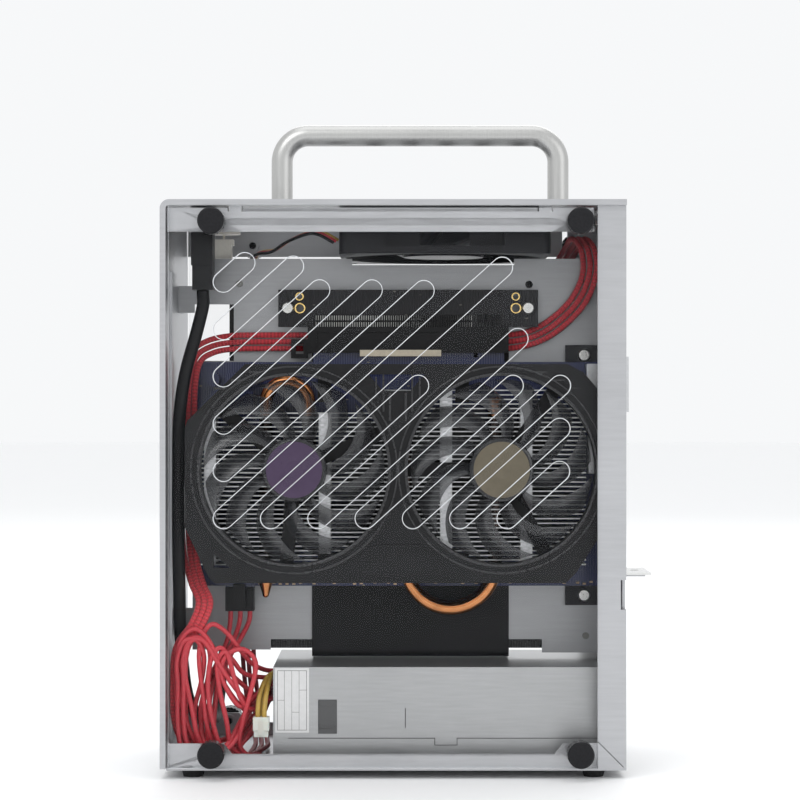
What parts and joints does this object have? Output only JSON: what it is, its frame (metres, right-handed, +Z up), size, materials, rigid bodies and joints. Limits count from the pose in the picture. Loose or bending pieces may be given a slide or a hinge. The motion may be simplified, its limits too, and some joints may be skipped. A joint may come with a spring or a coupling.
{
  "type": "mini-itx computer case",
  "caption": "Compact sandwich-layout computer case with clear slotted side panels, a bent-rod handle, finger screws, and its fans, graphics card, board and power supply.",
  "frame": {"origin": "on the floor under the middle of the whole object", "axes": "+X from the closed front to the rear with its ports, +Y from the graphics-card side to the main-board side, +Z up"},
  "size_m": [0.2112, 0.139, 0.2862],
  "materials": {
    "silver_sheet": "satin anodised",
    "tray_sheet": "matt grey anodised",
    "dark_sheet": "matt black powder coat",
    "clear_panel": "clear polished acrylic",
    "knob_metal": "black anodised, fluted",
    "screw_steel": "bright",
    "standoff_brass": "plain",
    "handle_steel": "polished",
    "foot_rubber": "matt",
    "button_metal": "satin",
    "white_plastic": "matt",
    "black_plastic": "matt",
    "black_jacket": "satin jacket",
    "card_board_blue": "solder mask",
    "black_board": "solder mask",
    "green_board": "solder mask",
    "bracket_steel": "satin",
    "port_metal": "bright",
    "copper_metal": "bright copper",
    "fin_metal": "bare, dull",
    "shroud_plastic": "fine matt",
    "fan_smoke": "smoked",
    "fan_plastic": "satin",
    "black_screw": "black",
    "supply_metal": "bare sheet",
    "red_sleeve": "woven sleeve",
    "red_wire": "smooth jacket",
    "yellow_wire": "smooth jacket"
  },
  "bodies": {
    "case": {"shell": "silver_sheet", "chassis": "silver_sheet", "top_rail_near": "silver_sheet", "top_rail_far": "silver_sheet", "tray": "tray_sheet", "card_support": "dark_sheet", "panel_near": "clear_panel", "panel_far": "clear_panel", "m3_screws": "screw_steel", "standoffs": "standoff_brass", "handle": "handle_steel", "handle_screws": "screw_steel", "feet": "foot_rubber", "button_body": "white_plastic", "button_plug": "white_plastic", "usb_port": "black_plastic", "usb_lead": "black_jacket", "card_board": "card_board_blue", "card_bracket": "bracket_steel", "card_ports": "port_metal", "card_base": "copper_metal", "card_fins": "fin_metal", "heat_pipes": "copper_metal", "card_shroud": "shroud_plastic", "card_fan_mounts": "shroud_plastic", "card_power_plug": "black_plastic", "riser_board": "black_board", "riser_slot": "black_plastic", "riser_ribbon": "black_jacket", "riser_edge_board": "black_board", "main_board": "black_board", "board_sockets": "black_plastic", "memory_modules": "green_board", "io_ports": "port_metal", "io_shield": "bracket_steel", "drive": "black_board", "cooler_heatsink": "fin_metal", "cooler_fan_frame": "fan_plastic", "board_power_plug": "black_plastic", "top_fan_frame": "fan_plastic", "fan_screws": "black_screw", "psu_case": "supply_metal", "cpu_cable": "red_sleeve", "wire_loops": "red_wire", "psu_wires": "yellow_wire", "fan_lead": "red_wire"},
    "button": {"power_button": "button_metal"},
    "card_fan_1": {"card_fan_front": "fan_smoke"},
    "card_fan_2": {"card_fan_rear": "fan_smoke"},
    "top_rotor": {"top_fan": "fan_plastic"},
    "cooler_rotor": {"cooler_fan": "fan_plastic"},
    "supply_rotor": {"psu_fan": "fan_plastic"},
    "knob_near_1": {"thumbscrew_near_1": "knob_metal"},
    "knob_far_1": {"thumbscrew_far_1": "knob_metal"},
    "knob_near_2": {"thumbscrew_near_2": "knob_metal"},
    "knob_far_2": {"thumbscrew_far_2": "knob_metal"},
    "knob_near_3": {"thumbscrew_near_3": "knob_metal"},
    "knob_far_3": {"thumbscrew_far_3": "knob_metal"},
    "knob_near_4": {"thumbscrew_near_4": "knob_metal"},
    "knob_far_4": {"thumbscrew_far_4": "knob_metal"}
  },
  "joints": [
    {"name": "button_press", "type": "slide", "parent": "case", "child": "button", "axis": [0, 0, -1], "range_m": [0, 0.0008], "stiffness_N_per_m": 1500},
    {"name": "card_fan_1_spin", "type": "hinge", "parent": "case", "child": "card_fan_1", "pos_m": [-0.0485, -0.045, 0.1323], "axis": [0, 1, 0], "continuous": true},
    {"name": "card_fan_2_spin", "type": "hinge", "parent": "case", "child": "card_fan_2", "pos_m": [0.0412, -0.045, 0.1323], "axis": [0, 1, 0], "continuous": true},
    {"name": "top_fan_spin", "type": "hinge", "parent": "case", "child": "top_rotor", "pos_m": [0.0168, 0, 0.2355], "axis": [0, 0, 1], "continuous": true},
    {"name": "cooler_fan_spin", "type": "hinge", "parent": "case", "child": "cooler_rotor", "pos_m": [0.0144, 0.036, 0.1389], "axis": [0, 1, 0], "continuous": true},
    {"name": "supply_fan_spin", "type": "hinge", "parent": "case", "child": "supply_rotor", "pos_m": [0.0844, 0.0175, 0.02625], "axis": [1, 0, 0], "continuous": true},
    {"name": "knob_near_1_turn", "type": "hinge", "parent": "case", "child": "knob_near_1", "pos_m": [-0.0832, -0.062, 0.2388], "axis": [0, 1, 0], "continuous": true},
    {"name": "knob_far_1_turn", "type": "hinge", "parent": "case", "child": "knob_far_1", "pos_m": [-0.0721, 0.062, 0.2351], "axis": [0, -1, 0], "continuous": true},
    {"name": "knob_near_2_turn", "type": "hinge", "parent": "case", "child": "knob_near_2", "pos_m": [0.0742, -0.062, 0.2388], "axis": [0, 1, 0], "continuous": true},
    {"name": "knob_far_2_turn", "type": "hinge", "parent": "case", "child": "knob_far_2", "pos_m": [0.0794, 0.062, 0.2351], "axis": [0, -1, 0], "continuous": true},
    {"name": "knob_near_3_turn", "type": "hinge", "parent": "case", "child": "knob_near_3", "pos_m": [-0.0832, -0.062, 0.0115], "axis": [0, 1, 0], "continuous": true},
    {"name": "knob_far_3_turn", "type": "hinge", "parent": "case", "child": "knob_far_3", "pos_m": [-0.0832, 0.062, 0.0115], "axis": [0, -1, 0], "continuous": true},
    {"name": "knob_near_4_turn", "type": "hinge", "parent": "case", "child": "knob_near_4", "pos_m": [0.0742, -0.062, 0.0115], "axis": [0, 1, 0], "continuous": true},
    {"name": "knob_far_4_turn", "type": "hinge", "parent": "case", "child": "knob_far_4", "pos_m": [0.0742, 0.062, 0.0115], "axis": [0, -1, 0], "continuous": true}
  ]
}
